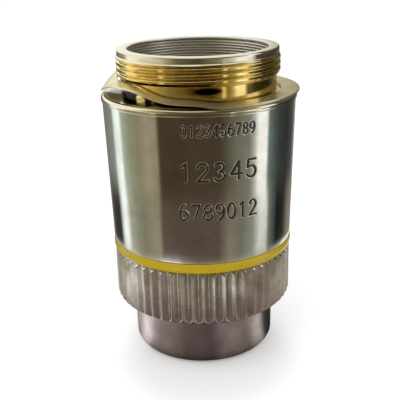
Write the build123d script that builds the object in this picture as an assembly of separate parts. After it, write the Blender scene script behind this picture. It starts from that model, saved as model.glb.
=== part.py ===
from build123d import *
import math
import os

# A low-power microscope objective: a lens train in a tube, inside a tapered sleeve with a
# knurled grip, a yellow power band and a threaded neck that screws into the nosepiece.
# Millimetres. The optical axis is Z, zero at the front face of the nose, neck upwards.

# Lengths along the axis, from the nose up
nose_length = 6.9
grip_length = 7.05
band_width = 1.2
sleeve_length = 18.1
flange_thickness = 0.75
relief_length = 2.0
thread_length = 2.75
lead_length = 0.65

# Neck, from the standard objective thread inwards
thread_radius = 10.16
thread_height = 0.46
neck_wall = 0.95
neck_bore_chamfer = 0.2
lead_step = 0.16
lead_rounding = 0.18

# Skirt of the mount, which screws over the lens barrel, and what lies at its ends
step_width = 0.47
step_depth = 1.2
skirt_wall = 1.38
skirt_length = 5.5
shim_thickness = 0.2
shim_width = 0.95
shim_margin = 0.05
lock_ring_wall = 1.08
lock_ring_height = 2.0
lock_ring_slot_width = 1.4
lock_ring_slot_depth = 0.6
baffle_height = 1.6
baffle_width = 2.13
baffle_lip = 0.3

# Clearances between pieces that fit
slip_clearance = 0.02
face_clearance = 0.02
spigot_end_gap = 0.3
skirt_clearance = 0.05

# Lens barrel, from the tube inwards and down to the nose
tube_wall = 2.2
barrel_top_chamfer = 0.2
collar_step = 0.25
collar_height = 1.4
nose_step = 0.15
nose_taper = 0.15
nose_rounding = 1.2
front_thread_step = 0.8
front_thread_top = 5.0
front_seat_width = 1.0
front_seat_depth = 1.25
barrel_ledge_width = 0.6
barrel_ledge_thickness = 0.8

# Outer sleeve and the flange that closes it
sleeve_top_wall = 1.45
sleeve_step = 0.98
spigot_wall = 1.4
guide_length = 6.4
flange_lip = 0.15
flange_rounding = 0.5

# Colour band
band_stand_out = 0.1
band_crown = 0.12

# Grip ring and its knurling
grip_wall = 0.36
grip_ledge_thickness = 1.2
tooth_count = 54
groove_depth = 0.6
groove_angle = 90
grip_top_chamfer = 0.65
grip_foot_chamfer = 0.5

# Front cell and its lens
front_recess = 0.35
front_rim_width = 1.28
dish_depth = 1.1
front_sill = 0.35
front_sill_width = 0.6
front_cell_clearance = 0.1
front_cell_wall = 1.56
spanner_hole_radius = 0.45
spanner_hole_inset = 0.68
spanner_hole_floor = 0.28
front_lens_edge = 1.2
front_lens_lower = -14.0
front_lens_upper = -7.5

# Lens cells in the bore and the two cemented pairs
front_spacer_height = 0.8
front_spacer_wall = 1.3
cell_wall = 1.46
sill_width = 0.5
middle_cell_height = 5.9
middle_sill = 0.8
long_spacer_wall = 1.4
stray_light_groove_pitch = 1.05
stray_light_groove_depth = 0.35
rear_cell_height = 6.0
rear_sill = 1.2
stop_thickness = 0.6
stop_lip = 0.8
retaining_ring_height = 1.9
retaining_ring_wall = 1.58
retaining_ring_recess = 1.09
retaining_slot_width = 1.0
retaining_slot_depth = 0.6
cement_gap = 0.02
middle_flint_thickness = 1.0
middle_inner_curve = 9.0
middle_crown_edge = 0.6
middle_upper_curve = -12.0
rear_lower_curve = 14.0
rear_crown_edge = 0.63
rear_inner_curve = -10.0
rear_flint_thickness = 1.2
rear_upper_curve = -40.0

# Grub screws that centre the rear cell
screw_count = 3
screw_radius = 0.8
screw_sunk = 0.1
screw_slot_width = 0.3
screw_slot_depth = 0.4
screw_point = 0.4

# Loose washer on the shoulder: flat at one side, humped at the other. The hump is given by
# distances inwards from the bent end of the strip and by shares of the height it rises to.
washer_hole_clearance = 0.45
washer_hole_offset = 0.1
washer_overhang = 0.1
washer_offset = 0.2
washer_thickness = 0.25
washer_flat_lift = 0.03
washer_thread_gap = 0.05
washer_strip_spare = 0.15
washer_flat_start = 14.9
washer_bend = [(12.3, 0.22), (7.3, 0.52), (5.0, 0.93), (3.3, 1.0), (0.8, 0.54), (0.0, 0.03)]
washer_end_slope = 52

# The most that an edge's rounding or bevel may take of the wall it is on
edge_share = 0.8

# Radii worked out from the walls and steps
relief_radius = thread_radius - thread_height
lead_radius = thread_radius - lead_step
neck_bore = relief_radius - neck_wall
tube_bore = neck_bore + step_width
tube_radius = tube_bore - slip_clearance
barrel_bore = tube_radius - tube_wall
cell_radius = barrel_bore - slip_clearance
nose_top_radius = tube_radius + nose_step
nose_tip_radius = nose_top_radius - nose_taper
front_thread_radius = barrel_bore - front_thread_step
front_seat_radius = front_thread_radius + front_seat_width
barrel_ledge_radius = front_thread_radius - barrel_ledge_width
skirt_radius = tube_bore + skirt_wall
sleeve_bore = skirt_radius + skirt_clearance
sleeve_top_radius = sleeve_bore + sleeve_top_wall
flange_radius = sleeve_top_radius + flange_lip
spigot_radius = tube_bore + spigot_wall
collar_radius = spigot_radius - collar_step
collar_bore = collar_radius + slip_clearance
slide_bore = spigot_radius + slip_clearance
sleeve_foot_radius = spigot_radius + sleeve_step
band_radius = sleeve_foot_radius + band_stand_out
groove_root_radius = slide_bore + grip_wall
grip_radius = groove_root_radius + groove_depth
pair_bore = cell_radius - cell_wall
pair_radius = pair_bore - slip_clearance
sill_radius = pair_radius - sill_width
stop_radius = sill_radius - stop_lip
front_body_radius = front_thread_radius - slip_clearance
front_head_radius = front_seat_radius - slip_clearance
front_lens_bore = front_body_radius - front_cell_wall
front_lens_radius = front_lens_bore - slip_clearance
dish_throat_radius = front_lens_radius - front_sill_width
dish_mouth_radius = front_head_radius - front_rim_width
washer_hole_radius = relief_radius + washer_hole_clearance
washer_radius = flange_radius + washer_overhang

# Heights worked out from the lengths
z_grip = nose_length
z_band = z_grip + grip_length
z_sleeve = z_band + band_width
z_flange = z_sleeve + sleeve_length
z_shoulder = z_flange + flange_thickness
z_thread = z_shoulder + relief_length
z_lead = z_thread + thread_length
z_rear = z_lead + lead_length
z_collar_top = z_grip + collar_height
z_grip_ledge = z_collar_top + face_clearance
z_spigot = z_grip_ledge + grip_ledge_thickness + spigot_end_gap
z_guide_top = z_spigot + guide_length
z_step = z_flange - step_depth
z_skirt = z_flange - skirt_length
z_barrel_top = z_step - shim_thickness - 2 * face_clearance
z_front_head = front_seat_depth - face_clearance
z_front_throat = front_recess + dish_depth
z_front_seat = z_front_throat + front_sill
z_ledge = front_thread_top + barrel_ledge_thickness
z_front_spacer = z_ledge + face_clearance
z_middle_cell = z_front_spacer + front_spacer_height + face_clearance
z_long_spacer = z_middle_cell + middle_cell_height + face_clearance
z_retaining_ring = z_barrel_top - retaining_ring_recess - retaining_ring_height
z_stop = z_retaining_ring - face_clearance - stop_thickness
z_rear_cell = z_stop - face_clearance - rear_cell_height
long_spacer_height = z_rear_cell - face_clearance - z_long_spacer

tolerance = 1e-4


def turned(corners):
    # closed outline of radius and height pairs, turned about the optical axis
    outline = Polyline(*corners, close=True)
    return revolve(Plane.XZ * make_face(outline), Axis.Z, 360)


def ring(inner, outer, bottom, height):
    top = bottom + height
    return turned([(inner, bottom), (outer, bottom), (outer, top), (inner, top)])


def rims(piece, radius, height):
    # the round edges of a turned piece at one radius and height
    found = []
    for edge in piece.edges().filter_by(GeomType.CIRCLE):
        on_radius = abs(edge.radius - radius) < tolerance
        at_height = abs(edge.arc_center.Z - height) < tolerance
        if on_radius and at_height:
            found.append(edge)
    return found


def block(width, depth, height, place):
    # a box that stands on its place, for cutting slots
    align = (Align.CENTER, Align.CENTER, Align.MIN)
    return place * Box(width, depth, height, align=align)


def sag(curve, radius):
    # how far a lens surface has risen at a radius, above its vertex on the axis
    return curve - math.copysign(math.sqrt(curve**2 - radius**2), curve)


def lens_surface(vertex, curve, rim):
    middle = rim / 2
    return ThreePointArc(
        (0, vertex),
        (middle, vertex + sag(curve, middle)),
        (rim, vertex + sag(curve, rim)),
    )


def lens(vertex, thickness, rim, lower, upper):
    # glass between two spheres: a curve is positive where its centre lies above the surface
    top = vertex + thickness
    edge = Line((rim, vertex + sag(lower, rim)), (rim, top + sag(upper, rim)))
    outline = [
        lens_surface(vertex, lower, rim),
        edge,
        lens_surface(top, upper, rim),
        Line((0, top), (0, vertex)),
    ]
    return revolve(Plane.XZ * make_face(outline), Axis.Z, 360)


def make_thread_mount():
    # neck, flange and skirt in one turned piece; the thread itself is left as a plain cylinder
    mount = turned([
        (neck_bore, z_step),
        (tube_bore, z_step),
        (tube_bore, z_skirt),
        (skirt_radius, z_skirt),
        (skirt_radius, z_flange),
        (flange_radius, z_flange),
        (flange_radius, z_shoulder),
        (relief_radius, z_shoulder),
        (relief_radius, z_thread),
        (thread_radius, z_thread),
        (thread_radius, z_lead),
        (lead_radius, z_lead),
        (lead_radius, z_rear),
        (neck_bore, z_rear),
    ])
    rounding = min(flange_rounding, edge_share * flange_thickness)
    mount = fillet(rims(mount, flange_radius, z_shoulder), rounding)
    rounding = min(lead_rounding, edge_share * lead_length)
    mount = fillet(rims(mount, lead_radius, z_rear), rounding)
    return chamfer(rims(mount, neck_bore, z_rear), neck_bore_chamfer)


def washer_profile():
    # the bent strip seen along Y: flat at one side, then a hump that comes down at the other
    bent_end = washer_offset - washer_radius - washer_strip_spare
    rise = relief_length - washer_thickness - washer_thread_gap
    bend = [(bent_end + inwards, share * rise) for inwards, share in washer_bend]
    far_end = (washer_offset + washer_radius + washer_strip_spare, washer_flat_lift)
    flat_end = (bent_end + washer_flat_start, washer_flat_lift)
    flat = Line(far_end, flat_end)
    slope = math.radians(washer_end_slope)
    wave = Spline(flat_end, *bend, tangents=[(-1, 0), (-math.cos(slope), -math.sin(slope))])
    lower = Curve() + flat + wave
    upper = Pos(0, washer_thickness) * lower
    last = bend[-1]
    ends = [
        Line(far_end, (far_end[0], far_end[1] + washer_thickness)),
        Line(last, (last[0], last[1] + washer_thickness)),
    ]
    return make_face([*lower.edges(), *upper.edges(), *ends])


def make_shoulder_washer():
    # a thin ring cut out of the bent strip, a little off centre, loose on the shoulder
    strip = extrude(Plane.XZ * washer_profile(), 2 * washer_radius, both=True)
    stock_height = 2 * relief_length
    outline = Pos(washer_offset, 0) * Cylinder(washer_radius, stock_height)
    hole = Pos(washer_hole_offset, 0) * Cylinder(washer_hole_radius, 2 * stock_height)
    return Pos(0, 0, z_shoulder) * (strip & outline - hole)


def make_parfocal_shim():
    # sets the distance from the shoulder to the lenses, between the mount's step and the barrel
    outer = tube_radius - shim_margin
    return ring(outer - shim_width, outer, z_barrel_top + face_clearance, shim_thickness)


def make_lock_ring():
    lock_ring_radius = tube_bore + lock_ring_wall
    bottom = z_skirt - face_clearance - lock_ring_height
    nut = ring(tube_bore, lock_ring_radius, bottom, lock_ring_height)
    slot = block(
        2 * lock_ring_radius,
        lock_ring_slot_width,
        lock_ring_slot_depth,
        Pos(0, 0, bottom),
    )
    return nut - slot - Rot(0, 0, 90) * slot


def make_baffle_ring():
    # a stepped ring under the neck that keeps stray light off the wall of the bore
    outer = neck_bore - slip_clearance
    inner = outer - baffle_width
    top = z_step + baffle_height
    return turned([
        (inner + baffle_lip, z_step),
        (outer, z_step),
        (outer, top),
        (inner, top),
        (inner, top - baffle_lip),
    ])


def make_outer_sleeve():
    # tapered cover: a spigot below carries the grip and band, the wide bore clears the skirt
    return turned([
        (tube_bore, z_spigot),
        (spigot_radius, z_spigot),
        (spigot_radius, z_sleeve),
        (sleeve_foot_radius, z_sleeve),
        (sleeve_top_radius, z_flange - face_clearance),
        (sleeve_bore, z_flange - face_clearance),
        (sleeve_bore, z_guide_top),
        (tube_bore, z_guide_top),
    ])


def make_colour_band():
    # a slightly crowned ring, trapped between the grip and the sleeve
    bottom = z_band + face_clearance
    top = z_sleeve - face_clearance
    foot = band_radius - band_crown
    crown = ThreePointArc((foot, bottom), (band_radius, (bottom + top) / 2), (foot, top))
    sides = Polyline((foot, top), (slide_bore, top), (slide_bore, bottom), (foot, bottom))
    return revolve(Plane.XZ * make_face([crown, *sides.edges()]), Axis.Z, 360)


def knurl_groove(height):
    # one V-shaped groove along the axis, its apex at the root of the teeth
    mouth = grip_radius + groove_depth
    half_width = 2 * groove_depth * math.tan(math.radians(groove_angle / 2))
    apex = (groove_root_radius, 0)
    outline = Polyline(apex, (mouth, half_width), (mouth, -half_width), close=True)
    return extrude(make_face(outline), height)


def make_grip_ring():
    # turned blank with bevelled ends, then one groove cut round the rim for each tooth
    ledge_top = z_grip_ledge + grip_ledge_thickness
    grip = turned([
        (collar_bore, z_grip),
        (grip_radius, z_grip),
        (grip_radius, z_band),
        (slide_bore, z_band),
        (slide_bore, ledge_top),
        (tube_bore, ledge_top),
        (tube_bore, z_grip_ledge),
        (collar_bore, z_grip_ledge),
    ])
    bevel = min(grip_top_chamfer, edge_share * (grip_radius - slide_bore))
    grip = chamfer(rims(grip, grip_radius, z_band), bevel)
    bevel = min(grip_foot_chamfer, edge_share * (grip_radius - collar_bore))
    grip = chamfer(rims(grip, grip_radius, z_grip), bevel)
    groove = Pos(0, 0, z_grip) * knurl_groove(grip_length)
    turns = [Rot(0, 0, 360 * tooth / tooth_count) for tooth in range(tooth_count)]
    return grip - [turn * groove for turn in turns]


def screw_places():
    # radial places of the grub screws, their Z pointing outwards from the axis
    height = z_rear_cell + rear_cell_height / 2
    turns = [Rot(0, 0, 360 * number / screw_count) for number in range(screw_count)]
    return [turn * Pos(cell_radius, 0, height) * Rot(0, 90, 0) for turn in turns]


def make_lens_barrel():
    # nose, collar and tube in one turned piece, threaded in front for the front cell
    barrel = turned([
        (front_seat_radius, 0),
        (nose_tip_radius, 0),
        (nose_top_radius, z_grip),
        (collar_radius, z_grip),
        (collar_radius, z_collar_top),
        (tube_radius, z_collar_top),
        (tube_radius, z_barrel_top),
        (barrel_bore, z_barrel_top),
        (barrel_bore, z_ledge),
        (barrel_ledge_radius, z_ledge),
        (barrel_ledge_radius, front_thread_top),
        (front_thread_radius, front_thread_top),
        (front_thread_radius, front_seat_depth),
        (front_seat_radius, front_seat_depth),
    ])
    rounding = min(nose_rounding, edge_share * (nose_tip_radius - front_seat_radius))
    barrel = fillet(rims(barrel, nose_tip_radius, 0), rounding)
    barrel = chamfer(rims(barrel, tube_radius, z_barrel_top), barrel_top_chamfer)
    wall = tube_radius - cell_radius
    drill = Cylinder(screw_radius + slip_clearance, 2 * wall)
    return barrel - [place * Pos(0, 0, wall) * drill for place in screw_places()]


def make_centring_screws():
    # slotted grub screws with a cone point, sunk a little below the tube's surface
    length = tube_radius - cell_radius - screw_sunk - face_clearance
    screw = Pos(0, 0, length / 2) * Cylinder(screw_radius, length)
    screw = chamfer(rims(screw, screw_radius, 0), min(screw_point, edge_share * screw_radius))
    slot_place = Pos(0, 0, length - screw_slot_depth)
    screw -= block(2 * screw_radius, screw_slot_width, screw_slot_depth, slot_place)
    seat = Pos(0, 0, face_clearance)
    return Compound([place * seat * screw for place in screw_places()])


def make_front_cell():
    # screws into the nose: a dished face with two spanner holes, a seat for the front lens
    top = front_thread_top - front_cell_clearance
    cell = turned([
        (dish_mouth_radius, front_recess),
        (front_head_radius, front_recess),
        (front_head_radius, z_front_head),
        (front_body_radius, z_front_head),
        (front_body_radius, top),
        (front_lens_bore, top),
        (front_lens_bore, z_front_seat),
        (dish_throat_radius, z_front_seat),
        (dish_throat_radius, z_front_throat),
    ])
    hole_place = front_head_radius - spanner_hole_inset
    hole_depth = z_front_head - front_recess - spanner_hole_floor
    drill = Cylinder(spanner_hole_radius, 2 * hole_depth)
    return cell - [Pos(side * hole_place, 0, front_recess) * drill for side in (-1, 1)]


def make_front_lens():
    # a meniscus, hollow side forwards, its rim on the seat of the front cell
    rim = front_lens_radius
    vertex = z_front_seat + face_clearance - sag(front_lens_lower, rim)
    thickness = front_lens_edge + sag(front_lens_lower, rim) - sag(front_lens_upper, rim)
    return lens(vertex, thickness, rim, front_lens_lower, front_lens_upper)


def make_front_spacer():
    return ring(cell_radius - front_spacer_wall, cell_radius, z_front_spacer, front_spacer_height)


def make_pair_cell(bottom, height, sill):
    # a short tube with a sill, in which a cemented pair sits
    top = bottom + height
    return turned([
        (sill_radius, bottom),
        (cell_radius, bottom),
        (cell_radius, top),
        (pair_bore, top),
        (pair_bore, bottom + sill),
        (sill_radius, bottom + sill),
    ])


def crown_thickness(edge, lower, upper):
    # on the axis, from the thickness that is left at the rim
    return edge + sag(lower, pair_radius) - sag(upper, pair_radius)


def make_middle_pair():
    # flat-bottomed flint below, double-bulged crown cemented into its hollow
    vertex = z_middle_cell + middle_sill + face_clearance
    flint = Pos(0, 0, vertex) * Cylinder(
        pair_radius,
        middle_flint_thickness + sag(middle_inner_curve, pair_radius),
        align=(Align.CENTER, Align.CENTER, Align.MIN),
    )
    hollow = vertex + middle_flint_thickness
    flint -= Pos(0, 0, hollow + middle_inner_curve) * Sphere(middle_inner_curve)
    crown = lens(
        hollow + cement_gap,
        crown_thickness(middle_crown_edge, middle_inner_curve, middle_upper_curve),
        pair_radius,
        middle_inner_curve,
        middle_upper_curve,
    )
    return crown, flint


def make_rear_pair():
    # double-bulged crown below, its belly in the sill's hole, flint cemented on top
    vertex = z_rear_cell + rear_sill + face_clearance - sag(rear_lower_curve, sill_radius)
    thickness = crown_thickness(rear_crown_edge, rear_lower_curve, rear_inner_curve)
    crown = lens(vertex, thickness, pair_radius, rear_lower_curve, rear_inner_curve)
    flint = lens(
        vertex + thickness + cement_gap,
        rear_flint_thickness,
        pair_radius,
        rear_inner_curve,
        rear_upper_curve,
    )
    return crown, flint


def make_long_spacer():
    # the tube between the pairs, with fine grooves inside against stray light
    inner = cell_radius - long_spacer_wall
    top = z_long_spacer + long_spacer_height
    spaces = max(1, int(long_spacer_height / stray_light_groove_pitch))
    pitch = long_spacer_height / spaces
    corners = [
        (inner, z_long_spacer),
        (cell_radius, z_long_spacer),
        (cell_radius, top),
        (inner, top),
    ]
    for number in range(spaces - 1, 0, -1):
        middle = z_long_spacer + number * pitch
        corners.append((inner, middle + stray_light_groove_depth))
        corners.append((inner + stray_light_groove_depth, middle))
        corners.append((inner, middle - stray_light_groove_depth))
    return turned(corners)


def make_aperture_stop():
    # thin plate with a hole whose edge is bevelled to a sharp lip
    top = z_stop + stop_thickness
    return turned([
        (stop_radius, z_stop),
        (cell_radius, z_stop),
        (cell_radius, top),
        (stop_radius + stop_thickness / 2, top),
        (stop_radius, z_stop + stop_thickness / 2),
    ])


def make_retaining_ring():
    # threaded ring that holds the stack down, slotted on top for a spanner
    hole = cell_radius - retaining_ring_wall
    nut = ring(hole, cell_radius, z_retaining_ring, retaining_ring_height)
    slot_place = Pos(0, 0, z_retaining_ring + retaining_ring_height - retaining_slot_depth)
    return nut - block(2 * cell_radius, retaining_slot_width, retaining_slot_depth, slot_place)


middle_crown, middle_flint = make_middle_pair()
rear_crown, rear_flint = make_rear_pair()
parts = {
    "thread_mount": make_thread_mount(),
    "shoulder_washer": make_shoulder_washer(),
    "parfocal_shim": make_parfocal_shim(),
    "lock_ring": make_lock_ring(),
    "baffle_ring": make_baffle_ring(),
    "outer_sleeve": make_outer_sleeve(),
    "colour_band": make_colour_band(),
    "grip_ring": make_grip_ring(),
    "lens_barrel": make_lens_barrel(),
    "centring_screws": make_centring_screws(),
    "front_cell": make_front_cell(),
    "front_lens": make_front_lens(),
    "front_spacer": make_front_spacer(),
    "middle_cell": make_pair_cell(z_middle_cell, middle_cell_height, middle_sill),
    "middle_crown": middle_crown,
    "middle_flint": middle_flint,
    "long_spacer": make_long_spacer(),
    "rear_cell": make_pair_cell(z_rear_cell, rear_cell_height, rear_sill),
    "rear_crown": rear_crown,
    "rear_flint": rear_flint,
    "aperture_stop": make_aperture_stop(),
    "retaining_ring": make_retaining_ring(),
}

os.makedirs("parts", exist_ok=True)
for name, piece in parts.items():
    export_step(piece, f"parts/{name}.step")
print(f"{len(parts)} parts, {z_rear:.2f} mm tall, barrel top {z_barrel_top:.2f}")
print(f"retaining ring top {z_retaining_ring + retaining_ring_height:.2f}")
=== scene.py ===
import math
import bmesh
import bpy
import numpy as np
from mathutils import Matrix, Vector


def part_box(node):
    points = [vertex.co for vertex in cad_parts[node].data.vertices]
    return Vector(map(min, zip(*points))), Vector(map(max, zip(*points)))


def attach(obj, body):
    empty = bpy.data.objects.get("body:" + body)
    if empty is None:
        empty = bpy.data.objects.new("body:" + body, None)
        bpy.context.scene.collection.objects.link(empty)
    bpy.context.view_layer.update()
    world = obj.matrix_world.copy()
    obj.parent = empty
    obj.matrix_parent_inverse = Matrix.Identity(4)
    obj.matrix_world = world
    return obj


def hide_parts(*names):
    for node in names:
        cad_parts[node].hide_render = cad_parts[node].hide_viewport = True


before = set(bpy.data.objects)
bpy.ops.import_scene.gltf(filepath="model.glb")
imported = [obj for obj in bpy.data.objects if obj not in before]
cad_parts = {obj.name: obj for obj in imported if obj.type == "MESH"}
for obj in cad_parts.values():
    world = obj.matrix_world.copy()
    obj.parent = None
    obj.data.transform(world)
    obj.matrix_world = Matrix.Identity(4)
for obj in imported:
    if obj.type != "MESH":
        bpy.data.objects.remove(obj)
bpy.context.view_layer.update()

# Low-power microscope objective, standing on its nose. The optical axis is Z.
# Lengths below are in millimetres; they go into the meshes as metres.
mm = 0.001
turn = 2 * math.pi
# in metres, points nearer than this are merged where a profile ends on the axis
mergeReach = 1e-7
# in millimetres, a point this near to a face's radius is on that face
onFace = 1e-6


# Small helpers

def hexLinear(code):
    # sRGB hex to linear: below 0.04045 a straight line, above it a power of 2.4
    srgb = np.array([int(code[i:i + 2], 16) for i in (0, 2, 4)]) / 255
    linear = np.where(srgb <= 0.04045, srgb / 12.92, ((srgb + 0.055) / 1.055) ** 2.4)
    return (*linear.tolist(), 1.0)


def smoothStep(low, high, value):
    # 0 below low, 1 above high, 3t^2 - 2t^3 between
    t = np.clip((value - low) / (high - low), 0, 1)
    return t * t * (3 - 2 * t)


def roundedProfile(corners, arcSteps=5):
    # closed outline of (radius, height, rounding); each rounded corner becomes a true arc,
    # drawn as a weighted curve whose middle weight is the sine of half the corner's angle
    corners = np.array([(*c, 0.0)[:3] for c in corners], float)
    points = []
    for i, (r, z, rounding) in enumerate(corners):
        here = np.array([r, z])
        if rounding <= 0:
            points.append(here)
            continue
        back = corners[i - 1, :2] - here
        ahead = corners[(i + 1) % len(corners), :2] - here
        back, ahead = back / np.linalg.norm(back), ahead / np.linalg.norm(ahead)
        half = 0.5 * math.acos(float(np.clip(back @ ahead, -1, 1)))
        cut = rounding / math.tan(half)
        t = np.linspace(0, 1, arcSteps + 1)[:, None]
        start, middle, end = (1 - t) ** 2, 2 * math.sin(half) * t * (1 - t), t ** 2
        arc = start * (here + back * cut) + middle * here + end * (here + ahead * cut)
        points.extend(arc / (start + middle + end))
    return np.array(points)


def gridPiece(name, points, wrapAround=True, wrapProfile=True, sharpAngle=38, weld=False):
    # points[i, j]: i goes round the axis anticlockwise, j along the outline with the metal on its left
    count = points.shape[0] * points.shape[1]
    a = np.arange(count).reshape(points.shape[:2])
    b = np.roll(a, -1, axis=0)
    quads = np.stack((a, b, np.roll(b, -1, axis=1), np.roll(a, -1, axis=1)), axis=-1)
    quads = quads if wrapAround else quads[:-1]
    quads = quads if wrapProfile else quads[:, :-1]
    mesh = bpy.data.meshes.new(name)
    mesh.from_pydata((points.reshape(-1, 3) * mm).tolist(), [], quads.reshape(-1, 4).tolist())
    if weld:
        work = bmesh.new()
        work.from_mesh(mesh)
        bmesh.ops.remove_doubles(work, verts=work.verts, dist=mergeReach)
        bmesh.ops.dissolve_degenerate(work, dist=mergeReach / 10, edges=work.edges)
        work.to_mesh(mesh)
        work.free()
    mesh.validate()
    mesh.shade_smooth()
    mesh.set_sharp_from_angle(angle=math.radians(sharpAngle))
    piece = bpy.data.objects.new(name, mesh)
    bpy.context.scene.collection.objects.link(piece)
    return piece


def ringPoints(radius, height, angle):
    # x = r cos a, y = r sin a, z = height, spread over one grid
    return np.stack(np.broadcast_arrays(radius * np.cos(angle), radius * np.sin(angle), height), axis=-1)


def turnedPoints(outline, around):
    # the outline carried round the axis
    return ringPoints(outline[None, :, 0], outline[None, :, 1], around[:, None])


def fullTurn(steps):
    return np.arange(steps) * turn / steps


def addNode(material, kind, inputs=None, **settings):
    node = material.node_tree.nodes.new(kind)
    for key, value in settings.items():
        setattr(node, key, value)
    for key, value in (inputs or {}).items():
        if isinstance(value, bpy.types.NodeSocket):
            material.node_tree.links.new(value, node.inputs[key])
        else:
            node.inputs[key].default_value = value
    return node


def newMaterial(name):
    material = bpy.data.materials.new(name)
    material.use_nodes = True
    material.node_tree.nodes.clear()
    return material


def spotMask(material, place, centre, reach):
    # 1 inside an ellipsoid with that centre and those half axes, fading to 0 just outside it
    offset = addNode(material, "ShaderNodeVectorMath",
                     {0: place, 1: Vector(centre) * mm}, operation="SUBTRACT")
    share = addNode(material, "ShaderNodeVectorMath",
                    {0: offset.outputs[0], 1: Vector(reach) * mm}, operation="DIVIDE")
    length = addNode(material, "ShaderNodeVectorMath", {0: share.outputs[0]}, operation="LENGTH")
    return addNode(material, "ShaderNodeMapRange",
                   {0: length.outputs["Value"], 1: 0.75, 2: 1.1, 3: 1.0, 4: 0.0}).outputs[0]


def finishPiece(piece, material, slotName, *nodes):
    piece.data.materials.clear()
    piece.data.materials.append(material)
    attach(piece, "root")
    if nodes:
        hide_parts(*nodes)
    return piece


# Materials

metal = {
    "chromeClean": "e9e7e2",
    "chromeWorn": "d3cec2",
    "chromeRoughness": (0.06, 0.13),
    "gripClean": "dedbd4",
    "gripWorn": "c0b9ab",
    # the nose's tones are darker than the sleeve's: painted shade for the shaded floor it mirrors
    "noseClean": "d6cfd0",
    "noseWorn": "b8aeae",
    "brassClean": "eed992",
    "brassDark": "cfab58",
    "leadPlate": "ddd8c4",
    "borePlate": "e4e0d4",
    "boreRoughness": 0.42,
    # near-black painted shade, for the neck's places in shadow and in dark reflection
    "paintedShade": "1c160c",
    "nickelClean": "efe6c6",
    "nickelWorn": "d8c894",
    "blackOxide": "1b1b1c",
    "blackRubbed": "2c2b2a",
    "enamelYellow": "dcc010",
    "enamelShade": "c3a60c",
    "figurePaint": "302922",
    "steelClean": "a9aaad",
    "steelWorn": "8d8d90",
    "glassTint": "e2ecf0",
}

# places on the neck in millimetres: heights or radii between which a plate or the painted shade begins or
# ends, how far its worn edge wanders, and the centre and half axes of each patch of painted shade and of the
# clear spot where a glint shows
neckWearAndShade = {
    "leadFrom": (38.40, 38.56), "flangeTo": (34.02, 34.08), "boreTo": (8.92, 9.05), "boreShare": 0.92,
    "shadeTo": (11.25, 11.6), "edgeShift": 0.22,
    # patches of painted shade: the shadow under the raised washer, the shade in the front corner, a dark
    # reflection on the relief
    "shadowUnderWasher": ((-8.4, -4.4, 34.2), (5.0, 7.4, 0.8)),
    "shadeFrontCorner": ((-2.5, -9.6, 34.1), (6.0, 2.2, 0.5)),
    "reliefDarkReflection": ((1.0, -9.7, 35.5), (1.8, 2.0, 0.42)),
    # a spot left clear of the painted shade, where the brass's own reflection shows as a glint
    "glintSpot": ((-6.85, -6.9, 34.3), (0.8, 0.8, 0.5)),
}


def turnedMetal(name, clean, worn, roughness, wearScale, ringScale, ringHeight, fineHeight):
    # plate over turned metal: soft blotches of wear a few millimetres wide, rings left by the
    # tool (noise stretched round the axis) and a fine grain; gives a soft, slightly uneven mirror
    material = newMaterial(name)
    place = addNode(material, "ShaderNodeTexCoord").outputs["Object"]
    blotches = addNode(material, "ShaderNodeTexNoise",
                       {"Vector": place, "Scale": wearScale, "Detail": 5.0, "Roughness": 0.62})
    spread = addNode(material, "ShaderNodeMapRange",
                     {0: blotches.outputs["Fac"], 1: 0.42, 2: 0.7, 3: 0.0, 4: 1.0})
    colour = addNode(material, "ShaderNodeMix",
                     {0: spread.outputs[0], 6: hexLinear(clean), 7: hexLinear(worn)}, data_type="RGBA")
    gloss = addNode(material, "ShaderNodeMapRange",
                    {0: blotches.outputs["Fac"], 1: 0.3, 2: 0.75, 3: roughness[0], 4: roughness[1]})
    squeezed = addNode(material, "ShaderNodeMapping",
                       {"Vector": place, "Scale": (0.03, 0.03, 1.0)})
    rings = addNode(material, "ShaderNodeTexNoise",
                    {"Vector": squeezed.outputs[0], "Scale": ringScale, "Detail": 4.0, "Roughness": 0.6})
    grain = addNode(material, "ShaderNodeTexNoise",
                    {"Vector": place, "Scale": 5200.0, "Detail": 2.0, "Roughness": 0.5})
    ringBump = addNode(material, "ShaderNodeBump",
                       {"Height": rings.outputs["Fac"], "Distance": ringHeight, "Strength": 1.0})
    fineBump = addNode(material, "ShaderNodeBump",
                       {"Height": grain.outputs["Fac"], "Normal": ringBump.outputs[0],
                        "Distance": fineHeight, "Strength": 1.0})
    shader = addNode(material, "ShaderNodeBsdfPrincipled",
                     {"Base Color": colour.outputs[2], "Metallic": 1.0,
                      "Roughness": gloss.outputs[0], "Normal": fineBump.outputs[0]})
    addNode(material, "ShaderNodeOutputMaterial", {"Surface": shader.outputs[0]})
    return material, colour, shader, place


# satin chromium plate on turned brass: a soft mirror with faint rings and duller, rubbed patches
sleevePlate, sleeveColour, sleeveShader, sleevePlace = turnedMetal(
    "satin_chrome_sleeve", metal["chromeClean"], metal["chromeWorn"],
    metal["chromeRoughness"], wearScale=260.0, ringScale=1400.0, ringHeight=1.6e-6, fineHeight=0.8e-6)
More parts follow.
